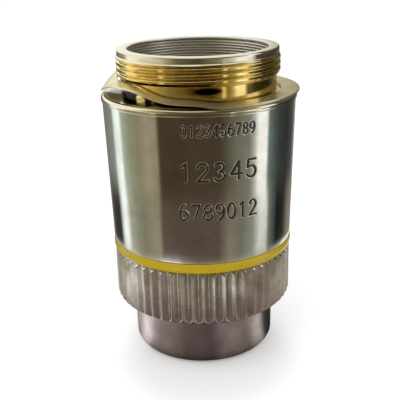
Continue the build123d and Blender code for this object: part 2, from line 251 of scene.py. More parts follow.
# the engraved strokes are filled with dark paint, rubbed thin at their edges
fillMark = addNode(sleevePlate, "ShaderNodeAttribute", attribute_name="engraved")
paintEdge = addNode(sleevePlate, "ShaderNodeTexNoise",
                    {"Vector": sleevePlace, "Scale": 3000.0, "Detail": 3.0})
paintLevel = addNode(sleevePlate, "ShaderNodeMath",
                     {0: fillMark.outputs["Fac"], 1: paintEdge.outputs["Fac"]}, operation="ADD")
paint = addNode(sleevePlate, "ShaderNodeMapRange", {0: paintLevel.outputs[0], 1: 0.72, 2: 1.0})
inked = addNode(sleevePlate, "ShaderNodeMix",
                {0: paint.outputs[0], 6: sleeveColour.outputs[2],
                 7: hexLinear(metal["figurePaint"])}, data_type="RGBA")
bare = addNode(sleevePlate, "ShaderNodeMath", {0: 1.0, 1: paint.outputs[0]}, operation="SUBTRACT")
sleevePlate.node_tree.links.new(inked.outputs[2], sleeveShader.inputs["Base Color"])
sleevePlate.node_tree.links.new(bare.outputs[0], sleeveShader.inputs["Metallic"])

# the same plate on the grip, duller from handling
gripPlate = turnedMetal("handled_chrome_grip", metal["gripClean"], metal["gripWorn"],
                        (0.2, 0.34), wearScale=420.0, ringScale=900.0, ringHeight=2e-6, fineHeight=1.5e-6)[0]
# chromium on the nose, scuffed by slides; its tones, darker and pinker than the sleeve's, are painted shade
# for the shaded floor that the nose mirrors
nosePlate = turnedMetal("scuffed_and_shaded_chrome_nose", metal["noseClean"], metal["noseWorn"],
                        (0.16, 0.32), wearScale=300.0, ringScale=1100.0, ringHeight=3e-6,
                        fineHeight=1.8e-6)[0]
# nickel-plated sheet brass, yellowed where the plate is thin
washerNickel = turnedMetal("yellowed_nickel_washer", metal["nickelClean"], metal["nickelWorn"],
                           (0.32, 0.46), wearScale=330.0, ringScale=500.0, ringHeight=1e-6,
                           fineHeight=1.5e-6)[0]
# machined brass inside the body: satin and warm
innerBrass = turnedMetal("machined_brass_inside", metal["brassClean"], metal["brassDark"],
                         (0.25, 0.4), wearScale=500.0, ringScale=1500.0, ringHeight=2e-6, fineHeight=1e-6)[0]
# plain turned steel of the grub screws
screwSteel = turnedMetal("turned_steel_screw", metal["steelClean"], metal["steelWorn"],
                         (0.25, 0.4), wearScale=800.0, ringScale=2000.0, ringHeight=1e-6, fineHeight=1e-6)[0]

# neck: bright brass on the thread, chromium left on the lead, the rim and the flange, and in the
# bore a thin plate with brass showing through; the change runs along worn, uneven edges
neckPlate, neckColour, neckShader, neckPlace = turnedMetal(
    "brass_neck_part_plated", metal["brassClean"], metal["brassDark"],
    (0.07, 0.15), wearScale=380.0, ringScale=1500.0, ringHeight=1.5e-6, fineHeight=1e-6)
neckAxes = addNode(neckPlate, "ShaderNodeSeparateXYZ", {0: neckPlace})
edgeNoise = addNode(neckPlate, "ShaderNodeTexNoise", {"Vector": neckPlace, "Scale": 700.0, "Detail": 4.0})
edgeShift = addNode(neckPlate, "ShaderNodeMapRange",
                    {0: edgeNoise.outputs["Fac"], 1: 0.3, 2: 0.7,
                     3: -neckWearAndShade["edgeShift"] * mm, 4: neckWearAndShade["edgeShift"] * mm})
wornHeight = addNode(neckPlate, "ShaderNodeMath",
                     {0: neckAxes.outputs[2], 1: edgeShift.outputs[0]}, operation="ADD")
leadPlate = addNode(neckPlate, "ShaderNodeMapRange",
                    {0: wornHeight.outputs[0], 1: neckWearAndShade["leadFrom"][0] * mm,
                     2: neckWearAndShade["leadFrom"][1] * mm})
flangePlate = addNode(neckPlate, "ShaderNodeMapRange",
                      {0: neckAxes.outputs[2], 1: neckWearAndShade["flangeTo"][0] * mm,
                       2: neckWearAndShade["flangeTo"][1] * mm, 3: 1.0, 4: 0.0})
acrossX = addNode(neckPlate, "ShaderNodeMath", {0: neckAxes.outputs[0], 1: 2.0}, operation="POWER")
acrossY = addNode(neckPlate, "ShaderNodeMath", {0: neckAxes.outputs[1], 1: 2.0}, operation="POWER")
acrossBoth = addNode(neckPlate, "ShaderNodeMath",
                     {0: acrossX.outputs[0], 1: acrossY.outputs[0]}, operation="ADD")
acrossRadius = addNode(neckPlate, "ShaderNodeMath", {0: acrossBoth.outputs[0]}, operation="SQRT")
borePlate = addNode(neckPlate, "ShaderNodeMapRange",
                    {0: acrossRadius.outputs[0], 1: neckWearAndShade["boreTo"][0] * mm,
                     2: neckWearAndShade["boreTo"][1] * mm, 3: neckWearAndShade["boreShare"], 4: 0.0})
plateAll = addNode(neckPlate, "ShaderNodeMath",
                   {0: leadPlate.outputs[0], 1: flangePlate.outputs[0]}, operation="MAXIMUM")
neckMix = addNode(neckPlate, "ShaderNodeMix",
                  {0: plateAll.outputs[0], 6: neckColour.outputs[2],
                   7: hexLinear(metal["leadPlate"])}, data_type="RGBA")
boreMix = addNode(neckPlate, "ShaderNodeMix",
                  {0: borePlate.outputs[0], 6: neckMix.outputs[2],
                   7: hexLinear(metal["borePlate"])}, data_type="RGBA")
# painted shade: a near-black colour stands for the shadow under the raised washer, the shade in the front
# corner and a dark reflection on the front of the relief, with one spot left clear where the brass shows a
# glint
shadowUnderWasher = spotMask(neckPlate, neckPlace, *neckWearAndShade["shadowUnderWasher"])
shadeFrontCorner = spotMask(neckPlate, neckPlace, *neckWearAndShade["shadeFrontCorner"])
reliefDarkReflection = spotMask(neckPlate, neckPlace, *neckWearAndShade["reliefDarkReflection"])
# spot left clear of the painted shade, where the brass's reflection gives a glint
glintSpot = spotMask(neckPlate, neckPlace, *neckWearAndShade["glintSpot"])
shadeLow = addNode(neckPlate, "ShaderNodeMath", {0: shadowUnderWasher, 1: shadeFrontCorner}, operation="MAXIMUM")
shadeAll = addNode(neckPlate, "ShaderNodeMath",
                    {0: shadeLow.outputs[0], 1: reliefDarkReflection}, operation="MAXIMUM")
# the painted shade stays inside the flange's rim
insideRim = addNode(neckPlate, "ShaderNodeMapRange",
                    {0: acrossRadius.outputs[0], 1: neckWearAndShade["shadeTo"][0] * mm,
                     2: neckWearAndShade["shadeTo"][1] * mm, 3: 1.0, 4: 0.0})
shadeKept = addNode(neckPlate, "ShaderNodeMath",
                     {0: shadeAll.outputs[0], 1: insideRim.outputs[0]}, operation="MULTIPLY")
shadeLeft = addNode(neckPlate, "ShaderNodeMath",
                     {0: shadeKept.outputs[0], 1: glintSpot}, operation="SUBTRACT", use_clamp=True)
shadedMix = addNode(neckPlate, "ShaderNodeMix",
                     {0: shadeLeft.outputs[0], 6: boreMix.outputs[2],
                      7: hexLinear(metal["paintedShade"])}, data_type="RGBA")
neckPlate.node_tree.links.new(shadedMix.outputs[2], neckShader.inputs["Base Color"])
# the bore's plate is matt
neckGloss = neckShader.inputs["Roughness"].links[0].from_socket
boreDull = addNode(neckPlate, "ShaderNodeMath",
                   {0: borePlate.outputs[0], 1: metal["boreRoughness"]}, operation="MULTIPLY")
neckRough = addNode(neckPlate, "ShaderNodeMath", {0: neckGloss, 1: boreDull.outputs[0]}, operation="MAXIMUM")
neckPlate.node_tree.links.new(neckRough.outputs[0], neckShader.inputs["Roughness"])

# glossy stoving enamel: even yellow, a little deeper where it pooled, orange peel under the gloss
bandEnamel = newMaterial("stoved_yellow_enamel")
bandPlace = addNode(bandEnamel, "ShaderNodeTexCoord").outputs["Object"]
bandPool = addNode(bandEnamel, "ShaderNodeTexNoise", {"Vector": bandPlace, "Scale": 350.0, "Detail": 4.0})
bandTone = addNode(bandEnamel, "ShaderNodeMix",
                   {0: bandPool.outputs["Fac"], 6: hexLinear(metal["enamelYellow"]),
                    7: hexLinear(metal["enamelShade"])}, data_type="RGBA")
bandPeel = addNode(bandEnamel, "ShaderNodeTexNoise", {"Vector": bandPlace, "Scale": 1800.0, "Detail": 2.0})
bandBump = addNode(bandEnamel, "ShaderNodeBump", {"Height": bandPeel.outputs["Fac"], "Distance": 0.000004})
bandShader = addNode(bandEnamel, "ShaderNodeBsdfPrincipled",
                     {"Base Color": bandTone.outputs[2], "Roughness": 0.28, "IOR": 1.5,
                      "Normal": bandBump.outputs[0]})
addNode(bandEnamel, "ShaderNodeOutputMaterial", {"Surface": bandShader.outputs[0]})

# blackened brass against stray light: matt, almost no highlight, faint tool rings
blackBrass = newMaterial("blackened_brass")
blackPlace = addNode(blackBrass, "ShaderNodeTexCoord").outputs["Object"]
blackSqueeze = addNode(blackBrass, "ShaderNodeMapping", {"Vector": blackPlace, "Scale": (0.03, 0.03, 1.0)})
blackRings = addNode(blackBrass, "ShaderNodeTexNoise",
                     {"Vector": blackSqueeze.outputs[0], "Scale": 2500.0, "Detail": 3.0})
blackTone = addNode(blackBrass, "ShaderNodeMix",
                    {0: blackRings.outputs["Fac"], 6: hexLinear(metal["blackOxide"]),
                     7: hexLinear(metal["blackRubbed"])}, data_type="RGBA")
blackBump = addNode(blackBrass, "ShaderNodeBump", {"Height": blackRings.outputs["Fac"], "Distance": 0.000004})
blackShader = addNode(blackBrass, "ShaderNodeBsdfPrincipled",
                      {"Base Color": blackTone.outputs[2], "Metallic": 0.4, "Roughness": 0.55,
                       "Normal": blackBump.outputs[0]})
addNode(blackBrass, "ShaderNodeOutputMaterial", {"Surface": blackShader.outputs[0]})

# polished crown and flint glass with a thin blooming layer: clear, faintly cool
opticalGlass = newMaterial("coated_optical_glass")
glassPlace = addNode(opticalGlass, "ShaderNodeTexCoord").outputs["Object"]
glassHaze = addNode(opticalGlass, "ShaderNodeTexNoise", {"Vector": glassPlace, "Scale": 600.0, "Detail": 3.0})
glassGloss = addNode(opticalGlass, "ShaderNodeMapRange",
                     {0: glassHaze.outputs["Fac"], 1: 0.3, 2: 0.8, 3: 0.0, 4: 0.05})
glassShader = addNode(opticalGlass, "ShaderNodeBsdfPrincipled",
                      {"Base Color": hexLinear(metal["glassTint"]), "IOR": 1.52,
                       "Transmission Weight": 1.0, "Roughness": glassGloss.outputs[0]})
addNode(opticalGlass, "ShaderNodeOutputMaterial", {"Surface": glassShader.outputs[0]})
print("materials made")


# Camera, at the photograph's place

view = {"place": (0.0, -90.9, 51.49), "pitch": 0.341, "roll": -0.024, "yaw": -0.002, "focal": 65.69}
cameraData = bpy.data.cameras.new("camera")
cameraData.lens = view["focal"]
cameraData.sensor_width = 36.0
cameraData.clip_start = 0.001
camera = bpy.data.objects.new("camera", cameraData)
cy, sy = math.cos(view["yaw"]), math.sin(view["yaw"])
cp, sp = math.cos(view["pitch"]), math.sin(view["pitch"])
ahead = Vector((sy * cp, cy * cp, -sp))
right = Vector((cy, -sy, 0.0))
above = right.cross(ahead)
cr, sr = math.cos(view["roll"]), math.sin(view["roll"])
rolledRight = cr * right + sr * above
rolledUp = cr * above - sr * right
place = Vector(view["place"]) * mm
facing = Matrix((rolledRight, rolledUp, -ahead)).transposed().to_4x4()
camera.matrix_world = Matrix.Translation(place) @ facing
bpy.context.scene.collection.objects.link(camera)
bpy.context.scene.camera = camera
print("camera placed")


# Studio: pale floor, a soft lamp, and cards that only reflections see

studio = {
    "floorRadius": 900.0,
    "floorColour": "f2f2f2",
    "floorFleck": "f6f6f6",
    # glow of the floor for the camera: in the painted shadow at the foot, and away from it
    "floorLift": (0.26, 0.48),
    "shadowPlace": (0.3, -8.0),
    "shadowReach": (7.0, 15.0),
    "skyStrength": 0.62,
    "lampPower": 0.16,
    # the lamp's place, what it is turned to and its width, in metres
    "lampPlace": (-0.07, -0.10, 0.24),
    "lampAim": (0, 0, 0.015),
    "lampWidth": 0.22,
    "ringStart": 8.4,
    "ringHeight": 0.04,
    "wallFoot": 0.6,
    "cardRadius": 42.0,
    "cardHeight": 78.0,
    "cardGain": 1.22,
    # share of the cards' light that is left at the object's foot, and the radius where all of it is
    "footShare": 0.35,
    "footReach": 13,
    "angleStretch": 6.3,
    "cardColumns": 721,
    "ringRows": 34,
    "wallRows": 78,
    # angle from the front, right positive, and the tone of the card there; the floor's cards show in
    # the nose, the grip's in the knurl, the foot's and the wall's in the sleeve, the neck's in the
    # thread, the upper ones in what faces upwards. Most tones in wallCards and about half of those in
    # footCards were read off the photo, at the places that mirror them
    "floorCards": [(-180, "8f8883"), (-137, "b8b0ac"), (-118, "fff8f6"), (-104, "fff4f2"), (-92, "aaa29e"),
                   (-76, "8b8480"), (-52, "7f736b"), (-30, "60544f"), (12, "5a4d4d"), (30, "86797a"),
                   (51, "867b71"), (75, "796e67"), (98, "c2beb4"), (107, "c2beb4"), (122, "3c3834"),
                   (148, "2c2826"), (165, "4a4642"), (180, "8f8883")],
    "gripCards": [(-180, "b8b2aa"), (-156, "b4aea6"), (-137, "b4aea8"), (-118, "c0bab4"), (-96, "c4beb8"),
                  (-84, "9c968c"), (-60, "c0b8ac"), (-46, "ffffff"), (-32, "ffffff"), (-24, "c0b8ac"),
                  (-4, "8c8276"), (18, "8a8074"), (34, "9a9082"), (52, "a69e90"), (75, "a8a296"),
                  (98, "a09a8e"), (120, "c0b8ac"), (132, "ffffff"), (158, "ffffff"), (180, "c8c2b8")],
    "footCards": [(-180, "8c857e"), (-150, "3c3a36"), (-128, "30302e"), (-117, "f4fbf6"), (-110, "f4fbf6"),
                  (-102, "a4a898"), (-88, "8a8b78"), (-76, "7b7c6a"), (-60, "8a8670"), (-54, "8a8470"),
                  (-49, "5a4e44"), (-30, "554840"), (20, "564a42"), (34, "7c7566"), (50, "6a6a5c"),
                  (66, "868a82"), (78, "d8dad6"), (88, "d8dad6"), (93, "6c716c"), (110, "161a18"),
                  (128, "2a2c28"), (146, "7c7268"), (180, "8c857e")],
    "wallCards": [(-180, "767872"), (-150, "767872"), (-129, "858c88"), (-122, "e6f2ec"), (-111, "f4fffa"),
                  (-105, "a2ac9d"), (-92, "8d9078"), (-78, "868269"), (-64, "978e77"), (-52, "8f836c"),
                  (-48, "453828"), (22, "43392b"), (30, "504b3e"), (44, "6c6a5c"), (60, "7a786c"),
                  (67, "b4bab4"), (73, "ffffff"), (85, "ffffff"), (89, "66726f"), (108, "3a4140"),
                  (128, "303231"), (150, "4a4b48"), (165, "8c8d89"), (180, "8c8d89")],
    "neckCards": [(-180, "5c5c48"), (-140, "66664e"), (-126, "9c9c80"), (-118, "ffffff"), (-98, "ffffff"),
                  (-90, "a89c68"), (-58, "8a7c50"), (-55, "d8d0a8"), (-51, "d8d0a8"), (-47, "7c6c44"),
                  (-10, "4a3d22"), (18, "4a3d22"), (33, "7a6c48"), (35, "f4ecd0"), (38, "f4ecd0"),
                  (41, "7a6c48"), (50, "a89c78"), (57, "ffffff"), (70, "ffffff"), (75, "46402c"),
                  (86, "2c281a"), (125, "28241a"), (145, "5c5a46"), (165, "8c8a74"), (180, "5c5c48")],
    "leadCards": [(-180, "5c5c48"), (-130, "9c9c88"), (-118, "ffffff"), (-92, "f6f2e0"), (-60, "d4d0ba"),
                  (-30, "6a604a"), (0, "4a4436"), (30, "8a866e"), (50, "dcd8c4"), (57, "ffffff"),
                  (80, "ffffff"), (90, "4a4636"), (150, "3a3a2c"), (180, "5c5c48")],
    "upperCards": [(-180, "e8e6da"), (-120, "ffffff"), (-72, "f4f0e4"), (-53, "a8a088"), (-30, "5a5242"),
                   (30, "4e4738"), (45, "7c7460"), (62, "8a8270"), (66, "ffffff"), (84, "ffffff"),
                   (88, "5e5648"), (150, "544c40"), (168, "e8e6da"), (180, "e8e6da")],
    # each set takes over from the one before between two levels, which are below 0 on the ring and
    # the height on the wall
    "cardSteps": [("gripCards", -18.0, -12.0), ("footCards", -2.0, 0.0), ("wallCards", 7.0, 14.0),
                  ("neckCards", 27.4, 28.6), ("leadCards", 32.6, 33.6), ("upperCards", 36.0, 39.0)],
}


def cardTone(angle, cards):
    # straight blend between neighbouring cards, by angle from the front
    stops = np.array([a for a, _ in cards], float)
    tones = np.array([hexLinear(code)[:3] for _, code in cards])
    return np.stack([np.interp(angle, stops, tones[:, k]) for k in range(3)], axis=-1)


def makeCards():
    # a bowl: a ring on the floor that rises into a wall. A ray that leaves a cylinder at twice the
    # angle of its normal meets a wall of radius r nearer to the axis, so the tone is looked up at
    # angle * (1 + stretch / r). The ring darkens towards the foot, where the object keeps the light
    # off. What faces upwards sees its cards at the plain angle.
    angle = np.radians(np.linspace(-180, 180, studio["cardColumns"]))[:, None]
    ringRadius = np.linspace(studio["ringStart"], studio["cardRadius"], studio["ringRows"])
    wallHeight = np.linspace(studio["wallFoot"], studio["cardHeight"], studio["wallRows"])
    radius = np.concatenate((ringRadius, np.full(studio["wallRows"], studio["cardRadius"])))
    height = np.concatenate((np.full(studio["ringRows"], studio["ringHeight"]), wallHeight))
    points = np.stack(np.broadcast_arrays(radius * np.sin(angle), -radius * np.cos(angle), height), axis=-1)
    looked = np.clip(np.degrees(angle) * (1 + studio["angleStretch"] / radius), -180, 180)
    tone = cardTone(looked, studio["floorCards"])
    level = radius - studio["cardRadius"] + height
    for cardSet, low, high in studio["cardSteps"]:
        share = smoothStep(low, high, level)[None, :, None]
        seenAt = np.broadcast_to(np.degrees(angle), looked.shape) if cardSet == "upperCards" else looked
        tone = tone * (1 - share) + cardTone(seenAt, studio[cardSet]) * share
    opened = smoothStep(studio["ringStart"], studio["footReach"], radius)
    footShade = studio["footShare"] + (1 - studio["footShare"]) * opened
    tone = tone * studio["cardGain"] * footShade[None, :, None]
    cards = gridPiece("studio_cards", points, False, False)
    layer = cards.data.color_attributes.new("tone", "FLOAT_COLOR", "POINT")
    layer.data.foreach_set("color", np.concatenate((tone, np.ones_like(tone[..., :1])), axis=-1).ravel())
    glow = newMaterial("card_glow")
    seen = addNode(glow, "ShaderNodeAttribute", attribute_name="tone")
    light = addNode(glow, "ShaderNodeEmission", {"Color": seen.outputs["Color"], "Strength": 1.0})
    addNode(glow, "ShaderNodeOutputMaterial", {"Surface": light.outputs[0]})
    cards.data.materials.append(glow)
    cards.visible_camera = False
    cards.visible_diffuse = False
    cards.visible_shadow = False
    cards.visible_transmission = False
    cards.visible_volume_scatter = False


def makeFloor():
    # a wide disc, its centre closed
    spokes = np.array([0.0, 30, 60, 120, 250, 500, studio["floorRadius"]])
    outline = np.stack((spokes[::-1], np.full(len(spokes), -0.01)), axis=-1)
    floor = gridPiece("floor", turnedPoints(outline, fullTurn(96)), True, False, weld=True)
    paper = newMaterial("white_paper_floor")
    grainPlace = addNode(paper, "ShaderNodeTexCoord").outputs["Object"]
    grain = addNode(paper, "ShaderNodeTexNoise", {"Vector": grainPlace, "Scale": 60.0})
    tone = addNode(paper, "ShaderNodeMix",
                   {0: grain.outputs["Fac"], 6: hexLinear(studio["floorColour"]),
                    7: hexLinear(studio["floorFleck"])}, data_type="RGBA")
    matt = addNode(paper, "ShaderNodeBsdfDiffuse", {"Color": tone.outputs[2]})
    rays = addNode(paper, "ShaderNodeLightPath")
    # the glow is lowered round a place in front of the foot: a painted shadow that deepens the floor's own
    # shadow there
    spot = Vector((*studio["shadowPlace"], 0.0)) * mm
    away = addNode(paper, "ShaderNodeVectorMath", {0: grainPlace, 1: spot}, operation="DISTANCE")
    glow = addNode(paper, "ShaderNodeMapRange",
                   {0: away.outputs["Value"],
                    1: studio["shadowReach"][0] * mm, 2: studio["shadowReach"][1] * mm,
                    3: studio["floorLift"][0], 4: studio["floorLift"][1]}, interpolation_type="SMOOTHSTEP")
    lift = addNode(paper, "ShaderNodeMath",
                   {0: rays.outputs["Is Camera Ray"], 1: glow.outputs[0]}, operation="MULTIPLY")
    white = addNode(paper, "ShaderNodeEmission", {"Strength": lift.outputs[0]})
    both = addNode(paper, "ShaderNodeAddShader", {0: matt.outputs[0], 1: white.outputs[0]})
    addNode(paper, "ShaderNodeOutputMaterial", {"Surface": both.outputs[0]})
    floor.data.materials.append(paper)


def makeLight():
    world = bpy.data.worlds.new("studio_world")
    bpy.context.scene.world = world
    world.use_nodes = True
    world.node_tree.nodes.clear()
    rays = addNode(world, "ShaderNodeLightPath")
    seenOne = addNode(world, "ShaderNodeMath",
                      {0: rays.outputs["Is Camera Ray"],
                       1: rays.outputs["Is Glossy Ray"]}, operation="MAXIMUM")
    seenAll = addNode(world, "ShaderNodeMath",
                      {0: seenOne.outputs[0], 1: rays.outputs["Is Transmission Ray"]}, operation="MAXIMUM")
    strength = addNode(world, "ShaderNodeMapRange",
                       {0: seenAll.outputs[0], 3: studio["skyStrength"], 4: 1.0})
    sky = addNode(world, "ShaderNodeBackground", {"Color": (1, 1, 1, 1), "Strength": strength.outputs[0]})
    addNode(world, "ShaderNodeOutputWorld", {"Surface": sky.outputs[0]})
    lampData = bpy.data.lights.new("soft_lamp", "AREA")
    lampData.shape = "DISK"
    lampData.size = studio["lampWidth"]
    lampData.energy = studio["lampPower"]
    lamp = bpy.data.objects.new("soft_lamp", lampData)
    lamp.location = studio["lampPlace"]
    lamp.rotation_euler = (Vector(studio["lampAim"]) - lamp.location).to_track_quat("-Z", "Y").to_euler()
    lamp.visible_glossy = False
    bpy.context.scene.collection.objects.link(lamp)


makeCards()
makeFloor()
makeLight()
bpy.context.scene.view_settings.view_transform = "Standard"
print("studio lit")


# Threaded mount

mount = {
    "skirtBottom": 27.75, "skirtRadius": 10.6, "tubeBore": 9.22, "step": 32.05, "neckBore": 8.75,
    "flangeBottom": 33.25, "flangeRadius": 12.25, "shoulder": 34.0, "flangeRounding": 0.5,
    "reliefRadius": 9.7, "leadRadius": 10.0, "leadRounding": 0.18, "rear": 39.4, "rimRounding": 0.16,
    # outer thread, 36 to the inch: its worn depth and flat, how steeply it runs in, where it ends
    "threadRadius": 10.16, "threadStart": 36.0, "pitch": 25.4 / 36, "wornDepth": 0.24,
    "wornLand": 0.42, "runIn": 1.2, "wornEnd": 38.55,
    # worn inner thread near the rim
    "innerStart": 36.0, "innerEnd": 39.0, "innerDepth": 0.032, "innerPitch": 0.36, "innerLand": 0.5,
    "columns": 400, "outerRows": 96, "innerRows": 84,
}


def threadWave(turns, land):
    # wave of period 1: a rounded groove that is 0 at its root, and 1 over a worn land as wide as given
    saw = np.abs((turns % 1.0) * 2 - 1)
    return smoothStep(0, 1 - land, saw)


def makeMount():
    m = mount
    outerZ = np.linspace(m["threadStart"] - 0.15, m["rear"] - 0.35, m["outerRows"])
    innerZ = np.linspace(m["rear"] - 0.2, m["innerStart"] - 0.1, m["innerRows"])
    corners = [(m["neckBore"], m["step"]), (m["tubeBore"], m["step"]), (m["tubeBore"], m["skirtBottom"]),
               (m["skirtRadius"], m["skirtBottom"]), (m["skirtRadius"], m["flangeBottom"]),
               (m["flangeRadius"], m["flangeBottom"], 0.06),
               (m["flangeRadius"], m["shoulder"], m["flangeRounding"]),
               (m["reliefRadius"], m["shoulder"], 0.08)]
    corners += [(m["reliefRadius"], z) for z in outerZ]
    # a point on the lead's face, so that its rounding starts from the upright
    corners += [(m["leadRadius"], m["rear"] - 0.3)]
    corners += [(m["leadRadius"], m["rear"], m["leadRounding"]), (m["neckBore"], m["rear"], m["rimRounding"])]
    corners += [(m["neckBore"], z) for z in innerZ]
    outline = roundedProfile(corners, 7)
    radius, height = outline[None, :, 0], outline[None, :, 1]
    angle = fullTurn(m["columns"])[:, None]
    # outside: the crest radius less the thread's worn depth, run in from the relief and faded into
    # the lead
    wave = threadWave((height - m["threadStart"]) / m["pitch"] - angle / turn, m["wornLand"])
    crest = m["threadRadius"] - m["wornDepth"] * (1 - wave)
    runIn = m["reliefRadius"] + np.clip((height - m["threadStart"]) * m["runIn"], 0, None)
    fade = smoothStep(m["wornEnd"] - 0.1, m["wornEnd"] + 0.1, height)
    outside = np.minimum(crest, runIn) * (1 - fade) + m["leadRadius"] * fade
    isOuter = (np.abs(radius - m["reliefRadius"]) < onFace) & (height > m["shoulder"] + 0.3)
    # inside: a finer, worn thread near the rim, fading out downwards
    shown = smoothStep(m["innerStart"], m["innerStart"] + 0.4, height)
    shown = shown * (1 - smoothStep(m["innerEnd"], m["innerEnd"] + 0.15, height))
    innerWave = threadWave(height / m["innerPitch"] - angle / turn, m["innerLand"])
    boreWall = m["neckBore"] + m["innerDepth"] * shown * innerWave
    isInner = np.abs(radius - m["neckBore"]) < onFace
    isInner = isInner & (height > m["step"] + 1) & (height < m["rear"] - 0.17)
    newRadius = np.where(isOuter, outside, np.where(isInner, boreWall, radius))
    return finishPiece(gridPiece("threaded_mount", ringPoints(newRadius, height, angle)),
                       neckPlate, "neck_brass", "thread_mount")


makeMount()
print("threaded mount turned")


# Loose washer, humped at the left

washer = {
    "shoulder": 34.0, "radius": 12.35, "offset": 0.2, "holeRadius": 10.15, "holeOffset": 0.1,
    "thickness": 0.25, "edgeRounding": 0.1,
    # places along X and heights over the shoulder, from the bent end to where it lies flat
    "bend": [(-12.3, -0.1), (-11.5, 0.9), (-9.0, 1.7), (-7.3, 1.58), (-5.0, 0.88), (0.0, 0.37), (2.6, 0.03)],
    "endSlope": 1.5,
    # where the section has points, as shares of the way from the hole to the rim
    "sectionShares": (0, 0.02, 0.15, 0.35, 0.5, 0.65, 0.85, 0.98, 1), "columns": 360,
}


def bendHeight(x):
    # piecewise cubic through the bend's points; its slopes solve the equations that make the
    # curvature run on through each inner point, with the end's slope given and none at the flat
    px, pz = np.array(washer["bend"]).T
    gap, rise = np.diff(px), np.diff(pz)
    system = np.eye(len(px))
    known = np.zeros(len(px))
    known[0] = washer["endSlope"]
    for k in range(1, len(px) - 1):
        system[k, k - 1:k + 2] = (1 / gap[k - 1], 2 / gap[k - 1] + 2 / gap[k], 1 / gap[k])
        known[k] = 3 * (rise[k - 1] / gap[k - 1] ** 2 + rise[k] / gap[k] ** 2)
    ps = np.linalg.solve(system, known)
    x = np.clip(x, px[0], px[-1])
    i = np.clip(np.searchsorted(px, x, side="right") - 1, 0, len(px) - 2)
    span = px[i + 1] - px[i]
    t = (x - px[i]) / span
    first = (2 * t ** 3 - 3 * t ** 2 + 1) * pz[i] + (t ** 3 - 2 * t ** 2 + t) * span * ps[i]
    return first + (3 * t ** 2 - 2 * t ** 3) * pz[i + 1] + (t ** 3 - t ** 2) * span * ps[i + 1]


def makeWasher():
    # the outline of the strip's section runs from hole to rim underneath and back on top; each point
    # lies its share of the way between the two circles, and the bend lifts it by its place along X
    w = washer
    e, t = w["edgeRounding"], w["thickness"]
    outwards = np.array(w["sectionShares"])
    flat = len(outwards) - 2
    across = np.concatenate((outwards, outwards[::-1]))
    lift = np.array([e] + [0] * flat + [e] + [t - e] + [t] * flat + [t - e])
    angle = fullTurn(w["columns"])[:, None]
    rimX, rimY = w["offset"] + w["radius"] * np.cos(angle), w["radius"] * np.sin(angle)
    holeX, holeY = w["holeOffset"] + w["holeRadius"] * np.cos(angle), w["holeRadius"] * np.sin(angle)
    x = holeX + (rimX - holeX) * across
    y = holeY + (rimY - holeY) * across
    z = w["shoulder"] + bendHeight(x) + lift
    return finishPiece(gridPiece("bent_washer", np.stack((x, y, z), axis=-1), sharpAngle=50),
                       washerNickel, "washer_nickel", "shoulder_washer")


makeWasher()
print("washer bent")


# Outer sleeve with engraved plain numbers

sleeve = {
    "tubeBore": 9.22, "spigotBottom": 9.82, "spigotRadius": 10.62, "bottom": 15.15, "footRadius": 11.6,
    "top": 33.23, "topRadius": 12.1, "bore": 10.65, "guideTop": 16.22,
    "fineStep": 0.06, "strokeDepth": 0.12, "figureShare": 0.86,
    # heights with rows as fine as the figures need, plain rows above the foot and below the top that
    # keep the rounded edges' shading off the wall, and the angles between which columns are fine
    "fineHeights": (20.2, 32.7), "footRows": (0.2, 0.3, 0.8, 2.4), "topRows": (0.3, 0.18),
    "fineAngles": (-20, 46), "wideColumns": 100,
    # text, height of its foot, height of its figures, advance of one figure, first figure's angle,
    # width of its strokes
    "lines": [("0123456789", 30.9, 1.3, 0.88, -10.3, 0.24), ("12345", 25.65, 2.12, 1.95, -11.5, 0.38),
              ("6789012", 20.87, 1.87, 1.4, -12.3, 0.32)],
}


def arcStroke(cx, cy, rx, ry, start, end, steps=14):
    # points of an ellipse arc, angles in degrees
    a = np.radians(np.linspace(start, end, steps))
    return np.stack((cx + rx * np.cos(a), cy + ry * np.sin(a)), axis=-1)


def figureStrokes(figure):
    # single-line figures in a box 0.6 wide and 1 high, as an engraving machine follows them
    line = lambda *points: np.array(points, float)
    strokes = {
        "0": [arcStroke(0.3, 0.5, 0.28, 0.5, 0, 360, 28)],
        "1": [line((0.1, 0.8), (0.32, 1.0), (0.32, 0.0))],
        "2": [np.vstack((arcStroke(0.3, 0.72, 0.27, 0.28, 170, -35), line((0.02, 0.0), (0.6, 0.0))))],
        "3": [arcStroke(0.28, 0.76, 0.25, 0.24, 150, -90), arcStroke(0.28, 0.26, 0.29, 0.26, 90, -150)],
        "4": [line((0.45, 0.0), (0.45, 1.0), (0.0, 0.3), (0.6, 0.3))],
        "5": [np.vstack((line((0.54, 1.0), (0.1, 1.0), (0.06, 0.58)),
                         arcStroke(0.29, 0.32, 0.29, 0.32, 120, -150)))],
        "6": [np.vstack((arcStroke(0.42, 0.42, 0.41, 0.58, 95, 180),
                         arcStroke(0.3, 0.3, 0.28, 0.3, 180, -180, 24)))],
        "7": [line((0.02, 1.0), (0.58, 1.0), (0.2, 0.0))],
        "8": [arcStroke(0.3, 0.76, 0.23, 0.24, 0, 360, 24), arcStroke(0.3, 0.26, 0.28, 0.26, 0, 360, 24)],
        "9": [np.vstack((arcStroke(0.18, 0.58, 0.41, 0.58, -85, 0),
                         arcStroke(0.3, 0.7, 0.28, 0.3, 0, 360, 24)))],
    }
    return strokes[figure]


def strokeDistance(x, z, strokes):
    # distance from each point to the nearest stroke: the foot of the perpendicular on each piece of
    # line, held between its ends
    nearest = np.full(x.shape, 9.0)
    for stroke in strokes:
        for (ax, az), (bx, bz) in zip(stroke[:-1], stroke[1:]):
            dx, dz = bx - ax, bz - az
            t = np.clip(((x - ax) * dx + (z - az) * dz) / (dx * dx + dz * dz + 1e-12), 0, 1)
            nearest = np.minimum(nearest, np.hypot(x - ax - t * dx, z - az - t * dz))
    return nearest


